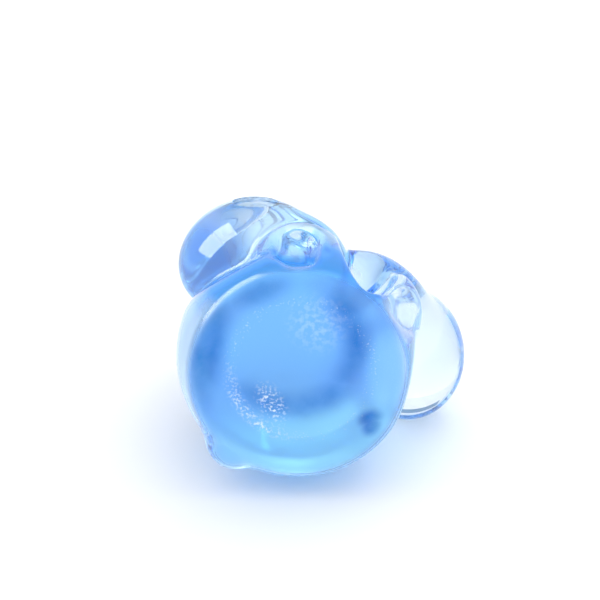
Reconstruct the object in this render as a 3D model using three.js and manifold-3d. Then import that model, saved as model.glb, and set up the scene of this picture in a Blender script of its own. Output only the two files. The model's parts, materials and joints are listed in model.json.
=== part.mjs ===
// A closed-end glass guitar slide, hot-worked by hand. All sizes are in millimetres.
//
// The pieces are laid out about the ground end: that flat face lies in y = 0 with its normal along -Y,
// and the glass runs back along +Y to the mouth of the finger bore, which leans a little to the left.
// At the end the whole slide is pitched so that it lies on its bulb, its right lobe and the rim of its
// mouth, with +Z up.

import * as THREE from "three";
import { mergeVertices } from "three/addons/utils/BufferGeometryUtils.js";
import Module from "manifold-3d";

const wasm = await Module();
wasm.setup();

// Driving dimensions
const FACE_RADIUS = 16; // the ground flat end
const BULB_RADIUS = 18.3;
const BULB_LEFT = 0.35; // how far the bulb sits to the left of the bore
const BORE_RADIUS = 9.5; // the finger bore
const BORE_BOTTOM = 22; // how far behind the ground face the bore ends
const BORE_CORNER = 4; // the rounding of its blind end
const WALL = 2.4; // the blue glass round the bore
const LENGTH = 44; // ground face to mouth, along the bore
const LIP_LENGTH = 3;
const CORE_MARGIN = 0.9; // clear glass round the blue core in the ground face
const LEAN_LEFT = 6.3; // degrees that the bore leans from square to the ground face
const LEAN_DOWN = 1.3;
const LIE_PITCH = 9.1; // degrees that the slide drops towards its mouth as it lies
const FUSE_GAP = 0.3; // kept between pieces that are fused together

// The hand-worked bits sit round the bulb. An angle is measured in the ground face, from +X towards +Z,
// and the bits lie to either side of the notch between the two lobes.
const NOTCH_ANGLE = 62;

const BULB_CENTRE = Math.sqrt(BULB_RADIUS ** 2 - FACE_RADIUS ** 2);
const BARREL_RADIUS = BORE_RADIUS + WALL;

const rad = THREE.MathUtils.degToRad;

// Turns a closed geometry into a solid that can be joined and cut.
function solid(geometry) {
  geometry.deleteAttribute("normal");
  geometry.deleteAttribute("uv");
  const merged = mergeVertices(geometry, 1e-4);
  return new wasm.Manifold(
    new wasm.Mesh({
      numProp: 3,
      vertProperties: new Float32Array(merged.attributes.position.array),
      triVerts: new Uint32Array(merged.index.array),
    }),
  );
}

// Turns a solid back into a geometry that can be drawn.
function geometryOf(body) {
  const mesh = body.getMesh();
  const geometry = new THREE.BufferGeometry();
  geometry.setAttribute("position", new THREE.BufferAttribute(new Float32Array(mesh.vertProperties), 3));
  geometry.setIndex(new THREE.BufferAttribute(new Uint32Array(mesh.triVerts), 1));
  geometry.computeVertexNormals();
  return geometry;
}

// A point at an angle and a radius round the axis, at a depth behind the ground face.
function around(angle, radius, depth) {
  return new THREE.Vector3(radius * Math.cos(rad(angle)), depth, radius * Math.sin(rad(angle)));
}

// An ellipsoid on the ring of bits. Its half sizes run outwards, along the bore and round the ring,
// and facing is the angle that its outward side points to.
function pebble({ at, size, facing, segments = 28 }, grow = 0) {
  const geometry = new THREE.SphereGeometry(1, segments, Math.round(segments * 0.6));
  geometry.scale(size[0] + grow, size[1] + grow, size[2] + grow);
  geometry.rotateY(-rad(facing));
  geometry.translate(at.x, at.y, at.z);
  return solid(geometry);
}

// A solid of revolution about the bore, from a closed profile of [radius, distance along the bore] points.
function turned(profile, segments = 40) {
  const points = profile.map(([radius, along]) => new THREE.Vector2(radius, along));
  const geometry = new THREE.LatheGeometry(points, segments);
  geometry.rotateZ(rad(LEAN_LEFT));
  geometry.rotateX(-rad(LEAN_DOWN));
  return solid(geometry);
}

// Points along a quarter of a circle, for a rounded corner between two straight runs.
function corner(centreRadius, centreAlong, radius, fromAngle, toAngle, steps = 4) {
  return Array.from({ length: steps + 1 }, (_, i) => {
    const angle = rad(fromAngle + ((toAngle - fromAngle) * i) / steps);
    return [centreRadius + radius * Math.cos(angle), centreAlong + radius * Math.sin(angle)];
  });
}

// Everything in front of the ground end, which the grinding takes away.
function groundAway(grow = 0) {
  const depth = 20;
  const geometry = new THREE.BoxGeometry(80, depth, 80);
  geometry.translate(0, -depth / 2 - grow, 0);
  return solid(geometry);
}

// A flat seat pressed into the bulb where a lobe was put on, at an angle round the axis. Its distance
// is from the bulb's centre, and it tilts towards the mouth.
const LEFT_SEAT = { angle: NOTCH_ANGLE + 57, distance: 15.8, tilt: 17 };
const RIGHT_SEAT = { angle: NOTCH_ANGLE - 76, distance: 16.7, tilt: 7 };

// Everything outside a seat, which pressing it in takes away from the bulb.
function beyondSeat({ angle, distance, tilt }, grow = 0) {
  const depth = 20;
  const geometry = new THREE.BoxGeometry(depth, 60, 60);
  geometry.translate(distance + grow + depth / 2, 0, 0);
  geometry.rotateZ(rad(tilt));
  geometry.rotateY(-rad(angle));
  geometry.translate(-BULB_LEFT, BULB_CENTRE, 0);
  return solid(geometry);
}

// The round bulb of clear glass that the ground face is cut across. It is the outside of the casing.
function bulb(grow = 0) {
  const geometry = new THREE.SphereGeometry(BULB_RADIUS + grow, 48, 30);
  geometry.translate(-BULB_LEFT, BULB_CENTRE, 0);
  return solid(geometry)
    .subtract(groundAway(grow))
    .subtract(beyondSeat(LEFT_SEAT, grow))
    .subtract(beyondSeat(RIGHT_SEAT, grow));
}

// The blue glass round the finger bore, from inside the bulb to the lip.
function barrel(grow = 0) {
  const start = 4;
  const end = LENGTH - LIP_LENGTH - FUSE_GAP + grow;
  const radius = BARREL_RADIUS + grow;
  return turned([[0, start], [radius, start], [radius, end], [0, end]]);
}

// The outside of the blue glass: wide where the grinding cuts it, narrowing to the barrel, and cut by
// the groove below the notch.
function coreOutside(grow = 0) {
  const front = FACE_RADIUS - CORE_MARGIN + grow;
  const gather = turned([
    [0, -2],
    [front, -2],
    [front, 2],
    [13.8 + grow, 9],
    [12.6 + grow, 16],
    [BARREL_RADIUS + grow, 22],
    [0, 22],
  ]);
  return gather.subtract(pebble(GROOVE, -grow)).add(barrel(grow)).subtract(groundAway(grow ? 1 : 0));
}

// The finger bore, with a rounded blind end.
function bore() {
  const past = 5;
  return turned([
    [0, BORE_BOTTOM],
    ...corner(BORE_RADIUS - BORE_CORNER, BORE_BOTTOM + BORE_CORNER, BORE_CORNER, -90, 0),
    [BORE_RADIUS, LENGTH + past],
    [0, LENGTH + past],
  ]);
}

// The fire-polished ring that closes the edge of the glass at the mouth.
function lip() {
  const round = 1.2;
  const outer = BARREL_RADIUS + 0.2;
  return turned([
    [BORE_RADIUS, LENGTH - LIP_LENGTH],
    [outer, LENGTH - LIP_LENGTH],
    ...corner(outer - round, LENGTH - round, round, 0, 90),
    ...corner(BORE_RADIUS + round, LENGTH - round, round, 90, 180),
    [BORE_RADIUS, LENGTH - LIP_LENGTH],
  ]);
}

// The bits, each as one or two pebbles. A side lobe is a big round end and the root that runs from it
// up to the notch. The groove runs up to the notch, and the dents are pinched into the two bumps.
const LEFT_LOBE = [
  { at: around(NOTCH_ANGLE + 64, 14, 22), size: [9, 8.5, 10.7], facing: NOTCH_ANGLE + 52 },
  { at: around(NOTCH_ANGLE + 34, 9.9, 20), size: [8.8, 8, 8.6], facing: NOTCH_ANGLE + 38 },
];
const RIGHT_LOBE = [
  { at: around(NOTCH_ANGLE - 80, 17.2, 25), size: [9.2, 8.5, 10.7], facing: NOTCH_ANGLE - 55 },
  { at: around(NOTCH_ANGLE - 47, 12.2, 20), size: [7.9, 8, 10.8], facing: NOTCH_ANGLE - 19 },
];
const LEFT_BUMP = {
  at: around(NOTCH_ANGLE + 29, 13.2, 12),
  size: [6.4, 6.5, 7.2],
  facing: NOTCH_ANGLE + 33,
};
const RIGHT_BUMP = {
  at: around(NOTCH_ANGLE - 35, 13.9, 12),
  size: [5.9, 6.5, 6.8],
  facing: NOTCH_ANGLE - 35,
};
const WEB = { at: around(NOTCH_ANGLE, 10, 22), size: [4.1, 7, 6.6], facing: NOTCH_ANGLE };
const GROOVE = { at: around(NOTCH_ANGLE - 8, 20, 14), size: [11.5, 13, 5.2], facing: NOTCH_ANGLE - 6 };
const LEFT_DENT = {
  at: around(NOTCH_ANGLE + 29, 19.8, 5.2),
  size: [4, 5, 3.5],
  facing: NOTCH_ANGLE + 29,
};
const RIGHT_DENT = {
  at: around(NOTCH_ANGLE - 32, 19.8, 5.2),
  size: [4, 4.5, 4.4],
  facing: NOTCH_ANGLE - 32,
};
const TIP = {
  at: around(NOTCH_ANGLE + 168, 16.8, 2.8),
  size: [2.4, 2.8, 3],
  facing: NOTCH_ANGLE + 170,
  segments: 20,
};

function lobe(bits, grow = 0) {
  const [end, root] = bits.map((bit) => pebble(bit, grow));
  return end.add(root);
}

// Cuts a body back from its neighbours, which are already grown by the gap that fused pieces keep.
function clearOf(body, ...neighbours) {
  return neighbours.reduce((left, neighbour) => left.subtract(neighbour), body);
}

const pressed = [GROOVE, LEFT_DENT, RIGHT_DENT].map((bit) => pebble(bit));
const grownCore = coreOutside(FUSE_GAP);
const grownBulb = bulb(FUSE_GAP);
const grownLeft = lobe(LEFT_LOBE, FUSE_GAP);
const grownRight = lobe(RIGHT_LOBE, FUSE_GAP);
const grownBits = [LEFT_BUMP, RIGHT_BUMP, TIP].map((bit) => pebble(bit, FUSE_GAP));
const grownWeb = pebble(WEB, FUSE_GAP);

// Fused bodies by node name. The bumps, the web and the tip are sunk into the casing, and the lobes sit
// on it.
const bodies = {
  blue_core: coreOutside().subtract(bore()),
  clear_casing: clearOf(bulb(), grownCore, ...pressed, ...grownBits, grownWeb),
  mouth_lip: lip(),
  left_lobe: clearOf(lobe(LEFT_LOBE), grownCore, grownBulb, ...grownBits),
  right_lobe: clearOf(lobe(RIGHT_LOBE), grownCore, grownBulb, grownLeft, ...grownBits),
  left_bump: clearOf(pebble(LEFT_BUMP), grownCore, ...pressed),
  right_bump: clearOf(pebble(RIGHT_BUMP), grownCore, ...pressed),
  notch_web: clearOf(pebble(WEB), grownCore, pebble(GROOVE), grownLeft, grownRight, ...grownBits),
  pulled_tip: clearOf(pebble(TIP), grownCore, groundAway()),
};

// Clear and blue glass, by node name. Every piece that isn't listed is clear.
const BLUE_NODES = ["blue_core"];

function glass(name) {
  const color = BLUE_NODES.includes(name) ? 0x3f97f2 : 0xdcecff;
  return new THREE.MeshStandardMaterial({ color, roughness: 0.05, metalness: 0 });
}

const slide = new THREE.Group();
for (const [name, body] of Object.entries(bodies)) {
  const mesh = new THREE.Mesh(geometryOf(body), glass(name));
  mesh.name = name;
  slide.add(mesh);
}

// Lies on its bulb, right lobe and mouth, with the origin under the middle of its box.
slide.rotation.x = -rad(LIE_PITCH);
const box = new THREE.Box3().setFromObject(slide, true);
slide.position.set(-(box.min.x + box.max.x) / 2, -(box.min.y + box.max.y) / 2, -box.min.z);

export default slide;
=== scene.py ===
"""A closed-end glass guitar slide, lying on a pale floor in soft studio light.

The slide is fused glass, so its clear pieces are shown as one smooth skin, worked out from a distance
field over the same bits that the CAD nodes hold. The blue glass lies inside it and only tints the light.
The field works in millimetres in the frame of the ground end: that face lies in y = 0 with its normal
along -y, and the ground_end mount says where it is in the row's frame.
"""

import json
import math

import bpy
import numpy as np
from mathutils import Matrix, Vector

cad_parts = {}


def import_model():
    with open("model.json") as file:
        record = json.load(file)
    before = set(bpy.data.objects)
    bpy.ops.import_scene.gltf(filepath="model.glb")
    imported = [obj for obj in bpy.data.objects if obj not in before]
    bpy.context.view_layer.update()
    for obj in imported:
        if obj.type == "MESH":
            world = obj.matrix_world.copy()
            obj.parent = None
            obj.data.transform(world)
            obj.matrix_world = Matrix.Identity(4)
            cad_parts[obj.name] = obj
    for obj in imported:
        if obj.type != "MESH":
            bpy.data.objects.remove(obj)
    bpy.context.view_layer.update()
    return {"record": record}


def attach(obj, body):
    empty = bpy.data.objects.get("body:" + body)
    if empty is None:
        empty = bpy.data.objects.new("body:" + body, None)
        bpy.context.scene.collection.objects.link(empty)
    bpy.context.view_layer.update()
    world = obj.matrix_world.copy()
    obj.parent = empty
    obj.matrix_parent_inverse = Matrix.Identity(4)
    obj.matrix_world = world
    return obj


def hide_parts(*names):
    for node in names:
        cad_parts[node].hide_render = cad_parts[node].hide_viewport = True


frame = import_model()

MM = 0.001

# The slide's driving dimensions, in millimetres and degrees
FACE_RADIUS = 16.0
BULB_RADIUS = 18.3
BULB_LEFT = 0.35
BORE_RADIUS = 9.5
BORE_BOTTOM = 22.0
BORE_CORNER = 4.0
WALL = 2.4
LENGTH = 44.0
LIP_LENGTH = 3.0
LEAN_LEFT = 6.3
LEAN_DOWN = 1.3
NOTCH_ANGLE = 62.0
BARREL_START = 4.0
LIP_ROUNDING = 1.2

BULB_CENTRE = math.sqrt(BULB_RADIUS**2 - FACE_RADIUS**2)
BARREL_RADIUS = BORE_RADIUS + WALL

# How far the glass flows together where two pieces are fused
FUSE_BARREL = 3.0
FUSE_SEAT = 3.0
FUSE_LOBE = 1.6
FUSE_BUMP = 2.0
FUSE_ROOT = 4.0
FUSE_TIP = 4.5
FUSE_STREAK = 2.0
FUSE_CORE_BUMP = 1.0

# How far the edges of what is cut away are rounded
GROOVE_ROUNDING = 2.0
DENT_ROUNDING = 0.6
MOUTH_ROUNDING = 1.0
RIM_ROUNDING = 2.5

# How far the skin stays inside the CAD pieces' faces, the blue glass inside the skin, and the blue in the
# left bump inside the bump
SKIN_INSET = 0.08
CORE_INSET = 0.15
BUMP_INSET = 0.8

# The box that each surface is worked out in, from its low to its high corner, and how finely. Both boxes
# end too low: they cut the top off the left lobe and off the blue in the left bump, so each mesh has a
# hole there.
SKIN_BOX = ((-21, -2, -21), (28, 47, 20))
CORE_BOX = ((-21, -2, -18), (18, 44, 18))
SKIN_STEP = 0.34
CORE_STEP = 0.6

# The middle of the slide in the row's frame, in metres, which the lamp and the cards face
SLIDE_MIDDLE = Vector((0, 0, 0.02))


# ---- The frame of the ground end ------------------------------------------------------------------


def ground_end():
    """The matrix from the ground end's frame, in millimetres, to the row's frame, in metres."""
    mount = next(m for m in frame["record"]["mounts"] if m["name"] == "ground_end")
    outward = Vector(mount["axis"]).normalized()
    pitch = -math.atan2(outward.z, -outward.y)
    place = Matrix.Translation(mount["pos_m"]) @ Matrix.Rotation(pitch, 4, "X")
    return place @ Matrix.Scale(MM, 4)


GROUND_END = ground_end()


def bore_axis():
    """The unit vector along the bore, from the ground end to the mouth."""
    to_left = Matrix.Rotation(math.radians(LEAN_LEFT), 3, "Z")
    down = Matrix.Rotation(-math.radians(LEAN_DOWN), 3, "X")
    return np.array(down @ to_left @ Vector((0, 1, 0)))


BORE_AXIS = bore_axis()


# ---- Distance fields ------------------------------------------------------------------------------


def around(angle, radius, depth):
    """A point at an angle and a radius round the bulb's axis, at a depth behind the ground face."""
    a = math.radians(angle)
    return np.array([radius * math.cos(a), depth, radius * math.sin(a)])


def pebble(p, at, size, facing):
    """Distance to an ellipsoid with half sizes outwards, along the bulb's axis and round the ring."""
    a = math.radians(facing)
    outward = np.array([math.cos(a), 0, math.sin(a)])
    onward = np.array([0, 1.0, 0])
    sideways = np.array([-math.sin(a), 0, math.cos(a)])
    q = (p - at) @ np.array([outward, onward, sideways]).T
    size = np.array(size)
    near = np.linalg.norm(q / size, axis=-1)
    slope = np.linalg.norm(q / size**2, axis=-1)
    return near * (near - 1) / np.maximum(slope, 1e-9)


def smooth_union(a, b, reach):
    """Two fields as one, with the join rounded over the reach."""
    blend = np.maximum(reach - np.abs(a - b), 0) / reach
    return np.minimum(a, b) - blend**3 * reach / 6


def smooth_cut(a, b, reach):
    """a with b taken away, and the edges rounded over the reach."""
    return -smooth_union(-a, b, reach)


def along_bore(p):
    """Each point's distance along the bore and its distance from the bore's axis."""
    along = p @ BORE_AXIS
    return along, np.linalg.norm(p - along[..., None] * BORE_AXIS, axis=-1)


def rounded_plug(along, out, start, end, radius, corner):
    """A cylinder about the bore with rounded edges."""
    middle = (start + end) / 2
    a = out - radius + corner
    b = np.abs(along - middle) - (end - start) / 2 + corner
    return np.minimum(np.maximum(a, b), 0) + np.hypot(np.maximum(a, 0), np.maximum(b, 0)) - corner


def lobe(p, end, root):
    return smooth_union(pebble(p, *end), pebble(p, *root), FUSE_ROOT)


LEFT_LOBE = (
    (around(NOTCH_ANGLE + 64, 14, 22), (9, 8.5, 10.7), NOTCH_ANGLE + 52),
    (around(NOTCH_ANGLE + 34, 9.9, 20), (8.8, 8, 8.6), NOTCH_ANGLE + 38),
)
RIGHT_LOBE = (
    (around(NOTCH_ANGLE - 80, 17.2, 25), (9.2, 8.5, 10.7), NOTCH_ANGLE - 55),
    (around(NOTCH_ANGLE - 47, 12.2, 20), (7.9, 8, 10.8), NOTCH_ANGLE - 19),
)
LEFT_BUMP = (around(NOTCH_ANGLE + 29, 13.2, 12), (6.4, 6.5, 7.2), NOTCH_ANGLE + 33)
RIGHT_BUMP = (around(NOTCH_ANGLE - 35, 13.9, 12), (5.9, 6.5, 6.8), NOTCH_ANGLE - 35)
WEB = (around(NOTCH_ANGLE, 10, 22), (4.1, 7, 6.6), NOTCH_ANGLE)
GROOVE = (around(NOTCH_ANGLE - 8, 20, 14), (11.5, 13, 5.2), NOTCH_ANGLE - 6)
TIP = (around(NOTCH_ANGLE + 168, 16.8, 2.8), (2.4, 2.8, 3), NOTCH_ANGLE + 170)

# Where the blue glass is drawn into the left lobe, and up to the rim between the bumps
LEFT_STREAK = (around(NOTCH_ANGLE + 84, 16.6, 21.5), (8.0, 8.0, 8.0), NOTCH_ANGLE + 64)
SHOULDER = (around(NOTCH_ANGLE + 8, 9, 7), (8.4, 6, 11), NOTCH_ANGLE + 8)

# The blue core's outer radius at distances along the bore
CORE_TAPER = ((0, 2, 6, 12, 22), (15.6, 15.0, 13.2, 12.4, BARREL_RADIUS))

# The pinches in the rim at the two bumps, how deep the small folds in them are, and how far the folds
# reach beyond them
DENTS = (
    (around(NOTCH_ANGLE + 29, 19.8, 5.2), (4, 5, 3.5), NOTCH_ANGLE + 29),
    (around(NOTCH_ANGLE - 32, 19.8, 5.2), (4, 4.5, 4.4), NOTCH_ANGLE - 32),
)
FOLD_DEPTH = 0.4
FOLD_REACH = 2.5

# Where the lobes are pressed on: angle round the bulb, distance from its centre, tilt to the mouth
SEATS = ((NOTCH_ANGLE + 57, 15.8, 17), (NOTCH_ANGLE - 76, 16.7, 7))


def bulb(p):
    """The ball of the slide with its two flat seats."""
    centre = np.array([-BULB_LEFT, BULB_CENTRE, 0])
    ball = np.linalg.norm(p - centre, axis=-1) - BULB_RADIUS
    for angle, distance, tilt in SEATS:
        a, t = math.radians(angle), math.radians(tilt)
        outward = np.array([math.cos(a) * math.cos(t), math.sin(t), math.sin(a) * math.cos(t)])
        ball = smooth_cut(ball, distance - (p - centre) @ outward, FUSE_SEAT)
    return ball


def ripples(p):
    """Small folds in and behind the pinches. They only go into the glass."""
    near = sum(np.clip((FOLD_REACH - pebble(p, *dent)) / FOLD_REACH, 0, 1) for dent in DENTS)
    slanted = p @ np.array([[1.0, 0.4, 0.3], [-0.3, 1.0, 0.5], [0.4, -0.2, 1.0]])
    u, v, w = np.moveaxis(slanted, -1, 0)
    wave = np.sin(u * 1.1) * np.sin(v * 0.9 + 1.0) + 0.5 * np.sin(w * 1.5)
    return FOLD_DEPTH * near**2 * (wave + 1.5)


def skin_field(p):
    """The outside of the fused glass, with the bore open."""
    along, out = along_bore(p)
    glass = smooth_union(bulb(p), pebble(p, *LEFT_BUMP), FUSE_BUMP)
    glass = smooth_union(glass, pebble(p, *RIGHT_BUMP), FUSE_BUMP)
    glass = smooth_cut(glass, pebble(p, *GROOVE), GROOVE_ROUNDING)
    for dent in DENTS:
        glass = smooth_cut(glass, pebble(p, *dent), DENT_ROUNDING)
    barrel = rounded_plug(along, out, BARREL_START, LENGTH, BARREL_RADIUS, LIP_ROUNDING)
    glass = smooth_union(glass, barrel, FUSE_BARREL)
    glass = smooth_union(glass, lobe(p, *LEFT_LOBE), FUSE_LOBE)
    glass = smooth_union(glass, lobe(p, *RIGHT_LOBE), FUSE_LOBE)
    glass = smooth_union(glass, pebble(p, *WEB), FUSE_BUMP)
    glass = smooth_union(glass, pebble(p, *TIP), FUSE_TIP) + ripples(p)
    past_mouth = LENGTH + 20
    bore = rounded_plug(along, out, BORE_BOTTOM, past_mouth, BORE_RADIUS, BORE_CORNER)
    glass = smooth_cut(glass, bore, MOUTH_ROUNDING)
    return smooth_cut(glass, p[..., 1], RIM_ROUNDING) + SKIN_INSET


def core_field(p):
    """The blue glass inside the skin: the core, the left bump and where the blue is drawn outwards."""
    along, out = along_bore(p)
    radius = np.interp(along, *CORE_TAPER)
    core = smooth_union(out - radius, pebble(p, *LEFT_STREAK), FUSE_STREAK)
    core = smooth_union(core, pebble(p, *LEFT_BUMP) + BUMP_INSET, FUSE_CORE_BUMP)
    core = smooth_union(core, pebble(p, *SHOULDER), FUSE_STREAK)
    core = np.maximum(core, along - (LENGTH - LIP_LENGTH))
    return np.maximum(core, skin_field(p) + CORE_INSET)


# ---- Surfaces out of fields -----------------------------------------------------------------------


def sample(field, low, high, step):
    """A field's values on a grid, with the grid's three axes."""
    axes = [np.arange(lo, hi + step, step) for lo, hi in zip(low, high)]
    values = np.empty([len(a) for a in axes])
    yz = np.stack(np.meshgrid(axes[1], axes[2], indexing="ij"), -1)
    for i, x in enumerate(axes[0]):
        p = np.concatenate([np.full(yz.shape[:2] + (1,), x), yz], -1)
        values[i] = field(p)
    return axes, values


def crossings(v):
    """For each cell, how many of its edges the zero surface crosses, and the sum of the crossings."""
    shape = np.array(v.shape) - 1
    total = np.zeros(tuple(shape) + (3,))
    count = np.zeros(tuple(shape))
    for axis in range(3):
        others = [a for a in range(3) if a != axis]
        for c in range(4):
            offset = np.zeros(3, int)
            offset[others[0]], offset[others[1]] = c & 1, c >> 1
            ahead = offset.copy()
            ahead[axis] = 1
            a = v[tuple(slice(o, o + n) for o, n in zip(offset, shape))]
            b = v[tuple(slice(o, o + n) for o, n in zip(ahead, shape))]
            crossed = (a < 0) != (b < 0)
            t = np.where(crossed, a / np.where(crossed, a - b, 1), 0)
            for k in range(3):
                total[..., k] += np.where(crossed, t if k == axis else offset[k], 0)
            count += crossed
    return count, total


def net_quads(inside, index):
    """A quad for each grid edge with one end inside, out of the four cells round the edge."""
    shape = index.shape
    quads = []
    for axis in range(3):
        u, w = [(1, 2), (2, 0), (0, 1)][axis]
        edges = np.argwhere(inside != np.roll(inside, -1, axis))
        ok = (edges[:, axis] < shape[axis]) & (edges[:, u] > 0) & (edges[:, w] > 0)
        ok &= (edges[:, u] < shape[u]) & (edges[:, w] < shape[w])
        edges = edges[ok]
        corners = []
        for du, dw in ((0, 0), (-1, 0), (-1, -1), (0, -1)):
            e = edges.copy()
            e[:, u] += du
            e[:, w] += dw
            corners.append(index[tuple(e.T)])
        quad = np.stack(corners, -1)
        outwards = inside[tuple(edges.T)]
        quad[~outwards] = quad[~outwards][:, ::-1]
        quads.append(quad)
    return np.concatenate(quads)


def surface_net(field, low, high, step):
    """The zero surface of a field as vertices and quads, one vertex in each cell that it passes."""
    axes, v = sample(field, low, high, step)
    count, total = crossings(v)
    cells = count > 0
    index = np.full(count.shape, -1)
    index[cells] = np.arange(cells.sum())
    corner = np.array([axis[0] for axis in axes])
    points = corner + (np.argwhere(cells) + total[cells] / count[cells][:, None]) * step
    return points, net_quads(v < 0, index)


def gradient(field, p):
    step = 0.02
    moves = np.eye(3) * step
    return np.stack([field(p + m) - field(p - m) for m in moves], -1) / (2 * step)


def settle(field, points, quads, rounds=6, steps=3):
    """Evens the vertices out along the surface and draws them onto it, and returns them."""
    edges = np.concatenate([quads[:, [0, 1]], quads[:, [1, 2]], quads[:, [2, 3]], quads[:, [3, 0]]])
    number = np.bincount(edges[:, 0], minlength=len(points))
    for _ in range(rounds):
        sums = [np.bincount(edges[:, 0], points[edges[:, 1], k], len(points)) for k in range(3)]
        mean = np.stack(sums, -1) / number[:, None]
        slope = gradient(field, points)
        slope /= np.maximum(np.linalg.norm(slope, axis=1, keepdims=True), 1e-9)
        move = (mean - points) * 0.5
        points = points + move - np.sum(move * slope, 1, keepdims=True) * slope
        for _ in range(steps):
            slope = gradient(field, points)
            length = np.maximum(np.sum(slope**2, 1), 0.05)
            points = points - (field(points) / length)[:, None] * slope
    return points


def glass_piece(name, field, low, high, step):
    """An object on the zero surface of a field, with the field's own normals."""
    points, quads = surface_net(field, low, high, step)
    points = settle(field, points, quads)
    turn = np.array(GROUND_END)
    mesh = bpy.data.meshes.new(name)
    mesh.from_pydata((points @ turn[:3, :3].T + turn[:3, 3]).tolist(), [], quads.tolist())
    mesh.validate()
    mesh.shade_smooth()
    slope = gradient(field, points)
    slope /= np.linalg.norm(slope, axis=1, keepdims=True)
    to_row = turn[:3, :3] / MM
    mesh.normals_split_custom_set_from_vertices((slope @ to_row.T).tolist())
    piece = bpy.data.objects.new(name, mesh)
    bpy.context.scene.collection.objects.link(piece)
    return piece


# ---- Materials ------------------------------------------------------------------------------------

# What each glass lets through, and how strongly it takes the rest away, per metre
CLEAR_TINT = (0.0, 0.6, 0.96)
CLEAR_DENSITY = 11.0
BLUE_TINT = (0.0, 0.65, 0.975)
BLUE_DENSITY = 48.0

# The ground face: its own pale blue, its painted light, lighter towards the bottom, and its painted shade
# where the glass behind it is deep, the colours of its haze and its scuffs, how satin and cloudy it and
# they are, and how far back over the rim this fades out, in millimetres
FACE_PALE = (0.19, 0.5, 0.95)
FACE_PAINTED_LIGHT = (0.3, 0.74, 0.97)
FACE_PAINTED_SHADE = (0.0, 0.18, 0.56)
HAZE_WHITE = (0.8, 0.92, 1.0)
WEAR_WHITE = (0.9, 0.95, 1.0)
FACE_ROUGHNESS = 0.38
FACE_CLOUD = 0.5
WEAR_CLOUD = 0.8
FACE_FADE = 1.6

# The bloom painted on the sides: its white, which is painted light, its blue, and how cloudy it is
BLOOM_PAINTED_LIGHT = (0.82, 0.92, 1.0)
BLOOM_BLUE = (0.07, 0.42, 0.95)
BLOOM_CLOUD = 0.4


def new_material(name):
    mat = bpy.data.materials.new(name)
    mat.use_nodes = True
    return mat, mat.node_tree, mat.node_tree.nodes["Principled BSDF"]


def absorb(tree, colour, density):
    """A plain volume absorption: each channel loses density times one less its colour, per metre."""
    volume = tree.nodes.new("ShaderNodeVolumeAbsorption")
    volume.inputs["Color"].default_value = (*colour, 1)
    volume.inputs["Density"].default_value = density
    tree.links.new(volume.outputs[0], tree.nodes["Material Output"].inputs["Volume"])


def calc(tree, operation, *values):
    """A math node on sockets and plain numbers. The result is a socket."""
    node = tree.nodes.new("ShaderNodeMath")
    node.operation = operation
    for socket, value in zip(node.inputs, values):
        if isinstance(value, (int, float)):
            socket.default_value = value
        else:
            tree.links.new(value, socket)
    return node.outputs[0]


def remap(tree, value, start, end, at_start=0.0, at_end=1.0):
    """A smooth step: at_start below start, at_end above end. It also runs backwards."""
    node = tree.nodes.new("ShaderNodeMapRange")
    node.interpolation_type = "SMOOTHSTEP"
    tree.links.new(value, node.inputs["Value"])
    node.inputs["From Min"].default_value = start
    node.inputs["From Max"].default_value = end
    node.inputs["To Min"].default_value = at_start
    node.inputs["To Max"].default_value = at_end
    return node.outputs[0]


def strongest(tree, *masks):
    top = masks[0]
    for mask in masks[1:]:
        top = calc(tree, "MAXIMUM", top, mask)
    return top


def face_place(tree):
    """Where a point is on the ground face, in millimetres: to the right, up, and out of the glass."""
    geometry = tree.nodes.new("ShaderNodeNewGeometry")
    offset = tree.nodes.new("ShaderNodeVectorMath")
    offset.operation = "SUBTRACT"
    offset.inputs[1].default_value = GROUND_END.translation
    tree.links.new(geometry.outputs["Position"], offset.inputs[0])
    turn = GROUND_END.to_3x3().inverted()
    place = tree.nodes.new("ShaderNodeCombineXYZ")
    for socket, row, sign in zip(place.inputs, (turn[0], turn[2], turn[1]), (1, 1, -1)):
        dot = tree.nodes.new("ShaderNodeVectorMath")
        dot.operation = "DOT_PRODUCT"
        dot.inputs[1].default_value = row * sign
        tree.links.new(offset.outputs[0], dot.inputs[0])
        tree.links.new(dot.outputs["Value"], socket)
    return place.outputs[0]


def reach(tree, place, at, size, turn=0):
    """How far a place on the face is from a spot's middle, counted in the spot's own half sizes."""
    node = tree.nodes.new("ShaderNodeMapping")
    node.vector_type = "TEXTURE"
    node.inputs["Location"].default_value = (*at, 0)
    node.inputs["Rotation"].default_value = (0, 0, math.radians(turn))
    node.inputs["Scale"].default_value = (*size, 1000)
    tree.links.new(place, node.inputs["Vector"])
    length = tree.nodes.new("ShaderNodeVectorMath")
    length.operation = "LENGTH"
    tree.links.new(node.outputs[0], length.inputs[0])
    return length.outputs["Value"]


def spot(tree, place, at, size, turn=0, soft=0.6):
    """A soft oval mask: 1 in its middle, 0 outside."""
    return remap(tree, reach(tree, place, at, size, turn), 1 - soft, 1 + soft, 1, 0)


def ring(tree, place, at, radius, width):
    """A soft ring mask: 1 on the circle, 0 the width away from it."""
    off = calc(tree, "ABSOLUTE", calc(tree, "SUBTRACT", reach(tree, place, at, (radius, radius)), 1))
    return remap(tree, off, 0, width / radius, 1, 0)


def noise(tree, place, scale, detail=3.0):
    node = tree.nodes.new("ShaderNodeTexNoise")
    node.inputs["Scale"].default_value = scale
    node.inputs["Detail"].default_value = detail
    tree.links.new(place, node.inputs["Vector"])
    return node.outputs["Fac"]


def mixed(tree, amount, first, second):
    """A mix of two colours, each a plain colour or a socket."""
    node = tree.nodes.new("ShaderNodeMix")
    node.data_type = "RGBA"
    tree.links.new(amount, node.inputs[0])
    for socket, colour in ((node.inputs[6], first), (node.inputs[7], second)):
        if isinstance(colour, tuple):
            socket.default_value = (*colour, 1)
        else:
            tree.links.new(colour, socket)
    return node.outputs[2]


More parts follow.
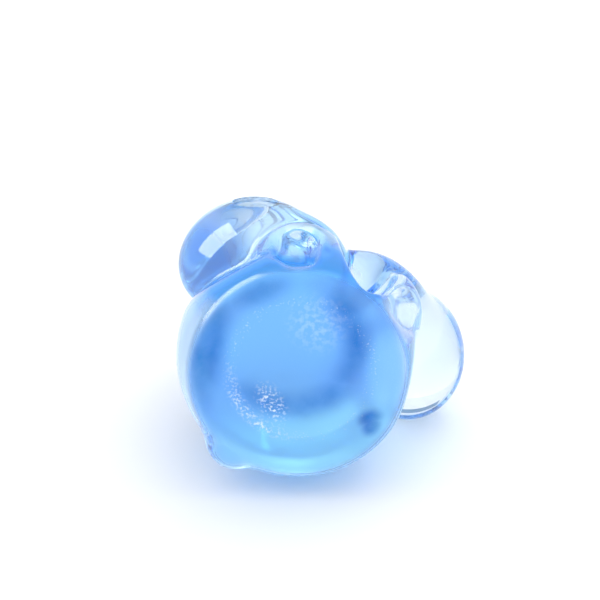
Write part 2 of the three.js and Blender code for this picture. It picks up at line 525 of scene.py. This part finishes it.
def face_shade(tree, place):
    """Painted shade in the deep blue of the glass behind the face: round the bore's blind end and the
    left side.
    """
    uneven = remap(tree, noise(tree, place, 0.28), 0.3, 0.7, 0.75, 1)
    blind_end = ring(tree, place, (-1.2, 4.6), 9.6, 3.6)
    right = spot(tree, place, (8, 7.5), (4.5, 9), -12, 0.5)
    below = spot(tree, place, (0, -4), (10, 3.5), 0, 0.5)
    shaded = strongest(tree, right, calc(tree, "MULTIPLY", below, 0.8))
    round_end = calc(tree, "MULTIPLY", blind_end, shaded)
    left = spot(tree, place, (-13.8, 5.5), (2.8, 9), -8, 0.6)
    upper = calc(tree, "MULTIPLY", spot(tree, place, (-6, 13), (4, 2), 20, 0.7), 0.7)
    # A small dark spot at the lower right, painted shade as well
    upper_half = spot(tree, place, (10.4, -6.8), (1.7, 1.2), 25)
    painted_dark_spot = strongest(tree, upper_half, spot(tree, place, (10.6, -8.1), (1.2, 1.5), -30))
    return calc(tree, "MULTIPLY", uneven, strongest(tree, round_end, left, upper, painted_dark_spot))


def face_wear(tree, place):
    """White scuffs on the ring that the slide has stood on, thickest at the lower left."""
    circle = ring(tree, place, (0.2, 0.8), 10.6, 1.5)
    lower_left = spot(tree, place, (-6.5, -5), (6, 5), -35, 0.5)
    inner = spot(tree, place, (-4.2, -4.6), (1.6, 3), 25, 0.6)
    all_round = remap(tree, noise(tree, place, 3.2, 6.0), 0.60, 0.68)
    thick = remap(tree, noise(tree, place, 2.4, 10.0), 0.49, 0.64)
    light_wear = calc(tree, "MULTIPLY", calc(tree, "MULTIPLY", circle, all_round), 0.6)
    heavy_place = strongest(tree, calc(tree, "MULTIPLY", circle, lower_left), inner)
    return strongest(tree, light_wear, calc(tree, "MULTIPLY", heavy_place, thick))


def face_haze(tree, place):
    """A faint bloom on the face, with the fine grain of the grinding."""
    bloom = spot(tree, place, (2.6, 8), (3.4, 3.4), 0, 0.7)
    cloudy = remap(tree, noise(tree, place, 1.1, 8.0), 0.42, 0.65)
    grain = remap(tree, noise(tree, place, 14.0, 2.0), 0.5, 0.8, 0, 0.15)
    return calc(tree, "ADD", calc(tree, "MULTIPLY", calc(tree, "MULTIPLY", bloom, cloudy), 0.4), grain)


def bloom_with_painted_light(tree, place, split):
    """How milky the glass is, and in what colour.

    The white is painted light, for the bright light seen through the clear glass: down the bulb's left
    side, in the right dent, at the tip and on top of the left lobe. The blue is painted for the blue
    glass seen
    through the sides: on top of the bulb round the clear dents, at the left of the left lobe and,
    faintly, on the right lobe.
    """
    on_bulb = remap(tree, split.outputs["Z"], -15, -6)
    behind = calc(tree, "SUBTRACT", 1, on_bulb)
    bulb_left = remap(tree, split.outputs["X"], -11, -16.5)
    bulb_top = remap(tree, split.outputs["Y"], 8, 12)
    for at, size, _ in DENTS:
        clear = spot(tree, place, (at[0], at[2]), (size[0], size[2]), 0, 0.2)
        bulb_top = calc(tree, "MULTIPLY", bulb_top, calc(tree, "SUBTRACT", 1, clear))
    right_dent = spot(tree, place, (15.5, 8), (3.6, 3.6), 0, 0.6)
    tip = calc(tree, "MULTIPLY", spot(tree, place, (-11, -13), (3, 3), 0, 0.6), 0.6)
    lobe_left = calc(tree, "MULTIPLY", spot(tree, place, (-15, 11), (6.5, 8), 0, 0.4), 0.85)
    lobe_top = spot(tree, place, (-4.5, 16), (5, 3.4), 0, 0.6)
    lobe_right = calc(tree, "MULTIPLY", spot(tree, place, (21, -1), (4.5, 6), 0, 0.7), 0.3)

    # Painted light: white where the glass looks pale in bright light
    painted_light_on_bulb = calc(tree, "MULTIPLY", on_bulb, strongest(tree, bulb_left, right_dent, tip))
    painted_light_mask = strongest(tree, painted_light_on_bulb, calc(tree, "MULTIPLY", behind, lobe_top))
    blue_front = calc(tree, "MULTIPLY", on_bulb, bulb_top)
    blue_behind = calc(tree, "MULTIPLY", behind, strongest(tree, lobe_left, lobe_right))
    blue = strongest(tree, blue_front, blue_behind)
    return strongest(tree, painted_light_mask, blue), mixed(tree, blue, BLOOM_PAINTED_LIGHT, BLOOM_BLUE)


def clear_glass():
    mat, tree, shader = new_material("clear_glass")
    shader.inputs["IOR"].default_value = 1.5
    absorb(tree, CLEAR_TINT, CLEAR_DENSITY)

    place = face_place(tree)
    split = tree.nodes.new("ShaderNodeSeparateXYZ")
    tree.links.new(place, split.inputs[0])
    ground = remap(tree, split.outputs["Z"], -SKIN_INSET - FACE_FADE, -SKIN_INSET - 0.02)
    bloom, bloom_colour = bloom_with_painted_light(tree, place, split)
    wear = calc(tree, "MULTIPLY", ground, face_wear(tree, place))
    haze = calc(tree, "MULTIPLY", ground, face_haze(tree, place))

    # Painted light: the face's colour is lighter towards the bottom
    low = spot(tree, place, (2.5, -10), (13, 6), 5, 0.7)
    blue = mixed(tree, low, FACE_PALE, FACE_PAINTED_LIGHT)
    # Painted shade: the face turns deep blue round the blind end and down the left
    blue = mixed(tree, face_shade(tree, place), blue, FACE_PAINTED_SHADE)
    blue = mixed(tree, haze, blue, HAZE_WHITE)
    blue = mixed(tree, wear, blue, WEAR_WHITE)
    # On the sides the bloom's white is painted light
    side = mixed(tree, bloom, (1.0, 1.0, 1.0), bloom_colour)
    tree.links.new(mixed(tree, ground, side, blue), shader.inputs["Base Color"])
    tree.links.new(calc(tree, "MULTIPLY", ground, FACE_ROUGHNESS), shader.inputs["Roughness"])
    cloud = calc(tree, "MULTIPLY", ground, FACE_CLOUD)
    bloom_cloud = calc(tree, "MULTIPLY", bloom, BLOOM_CLOUD)
    cloud = strongest(tree, cloud, bloom_cloud, calc(tree, "MULTIPLY", wear, WEAR_CLOUD))
    tree.links.new(calc(tree, "SUBTRACT", 1, cloud), shader.inputs["Transmission Weight"])
    return mat


def blue_glass():
    mat, tree, shader = new_material("blue_glass")
    shader.inputs["Base Color"].default_value = (1, 1, 1, 1)
    shader.inputs["Roughness"].default_value = 0.0
    shader.inputs["IOR"].default_value = 1.0
    shader.inputs["Transmission Weight"].default_value = 1.0
    absorb(tree, BLUE_TINT, BLUE_DENSITY)
    return mat


# ---- Floor, light and camera ----------------------------------------------------------------------


def floor():
    size = 3.0
    mesh = bpy.data.meshes.new("floor")
    corners = [(-size, -size, 0), (size, -size, 0), (size, size, 0), (-size, size, 0)]
    mesh.from_pydata(corners, [], [(0, 1, 2, 3)])
    piece = bpy.data.objects.new("floor", mesh)
    bpy.context.scene.collection.objects.link(piece)
    mat, _, shader = new_material("floor")
    shader.inputs["Base Color"].default_value = (0.95, 0.95, 0.96, 1)
    shader.inputs["Roughness"].default_value = 0.6
    mesh.materials.append(mat)


def area_light(name, place, size, power):
    """A lamp that faces the slide but has no highlight in it."""
    light = bpy.data.lights.new(name, "AREA")
    light.shape = "RECTANGLE"
    light.size, light.size_y = size
    light.energy = power
    lamp = bpy.data.objects.new(name, light)
    bpy.context.scene.collection.objects.link(lamp)
    lamp.location = place
    lamp.rotation_euler = (SLIDE_MIDDLE - Vector(place)).to_track_quat("-Z", "Y").to_euler()
    lamp.visible_glossy = False


def card(name, direction, distance, half_size, brightness):
    """A studio card facing the slide: a bright window shows mirrored in it, a dark flag through it."""
    middle = SLIDE_MIDDLE + Vector(direction).normalized() * distance
    facing = (SLIDE_MIDDLE - middle).to_track_quat("-Z", "Y")
    wide, high = half_size
    corners = [(-wide, -high, 0), (wide, -high, 0), (wide, high, 0), (-wide, high, 0)]
    mesh = bpy.data.meshes.new(name)
    mesh.from_pydata([middle + facing @ Vector(c) for c in corners], [], [(0, 1, 2, 3)])
    piece = bpy.data.objects.new(name, mesh)
    bpy.context.scene.collection.objects.link(piece)
    mat, _, shader = new_material(name)
    shader.inputs["Base Color"].default_value = (0.2, 0.3, 0.42, 1)
    shader.inputs["Emission Color"].default_value = (1, 1, 1, 1)
    shader.inputs["Emission Strength"].default_value = brightness
    mesh.materials.append(mat)
    piece.visible_camera = False
    piece.visible_diffuse = False
    piece.visible_shadow = False
    piece.visible_glossy = brightness > 0
    piece.visible_transmission = brightness == 0


def world():
    sky = bpy.data.worlds.new("studio")
    bpy.context.scene.world = sky
    sky.use_nodes = True
    background = sky.node_tree.nodes["Background"]
    background.inputs["Color"].default_value = (0.95, 0.97, 1.0, 1)
    background.inputs["Strength"].default_value = 1.1


def camera():
    """A long lens from the photo's angle, aimed a little above the bulb."""
    lens = bpy.data.cameras.new("camera")
    eye = bpy.data.objects.new("camera", lens)
    bpy.context.scene.collection.objects.link(eye)
    bpy.context.scene.camera = eye
    elevation = math.radians(27.6)
    distance = 0.5
    frame_width = 0.09
    aim_above_bulb = 0.00825
    sensor = 36
    lens.sensor_width = sensor
    lens.lens = sensor * distance / frame_width
    target = GROUND_END @ Vector((0, BULB_CENTRE, 0))
    back = Vector((0, -math.cos(elevation), math.sin(elevation)))
    up = Vector((0, math.sin(elevation), math.cos(elevation)))
    target = target + up * aim_above_bulb
    eye.location = target + back * distance
    eye.rotation_euler = (-back).to_track_quat("-Z", "Y").to_euler()


camera()
floor()
world()
area_light("softbox", (0.2, 0.25, 0.6), (0.6, 0.6), 1.4)
card("window", (-0.74, -0.2, 0.63), 0.55, (0.17, 0.25), 10.0)
card("flag", (-0.1, 1, 0.36), 0.5, (0.24, 0.05), 0)

skin = glass_piece("glass_skin", skin_field, *SKIN_BOX, SKIN_STEP)
skin.data.materials.append(clear_glass())
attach(skin, "root")
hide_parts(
    "clear_casing",
    "mouth_lip",
    "left_lobe",
    "right_lobe",
    "left_bump",
    "right_bump",
    "notch_web",
    "pulled_tip",
)

core = glass_piece("blue_core_glass", core_field, *CORE_BOX, CORE_STEP)
core.data.materials.append(blue_glass())
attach(core, "root")
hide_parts("blue_core")

studio = bpy.context.scene
studio.view_settings.view_transform = "Standard"
studio.cycles.use_denoising = True
studio.cycles.max_bounces = 64
studio.cycles.transmission_bounces = 64
studio.cycles.glossy_bounces = 64
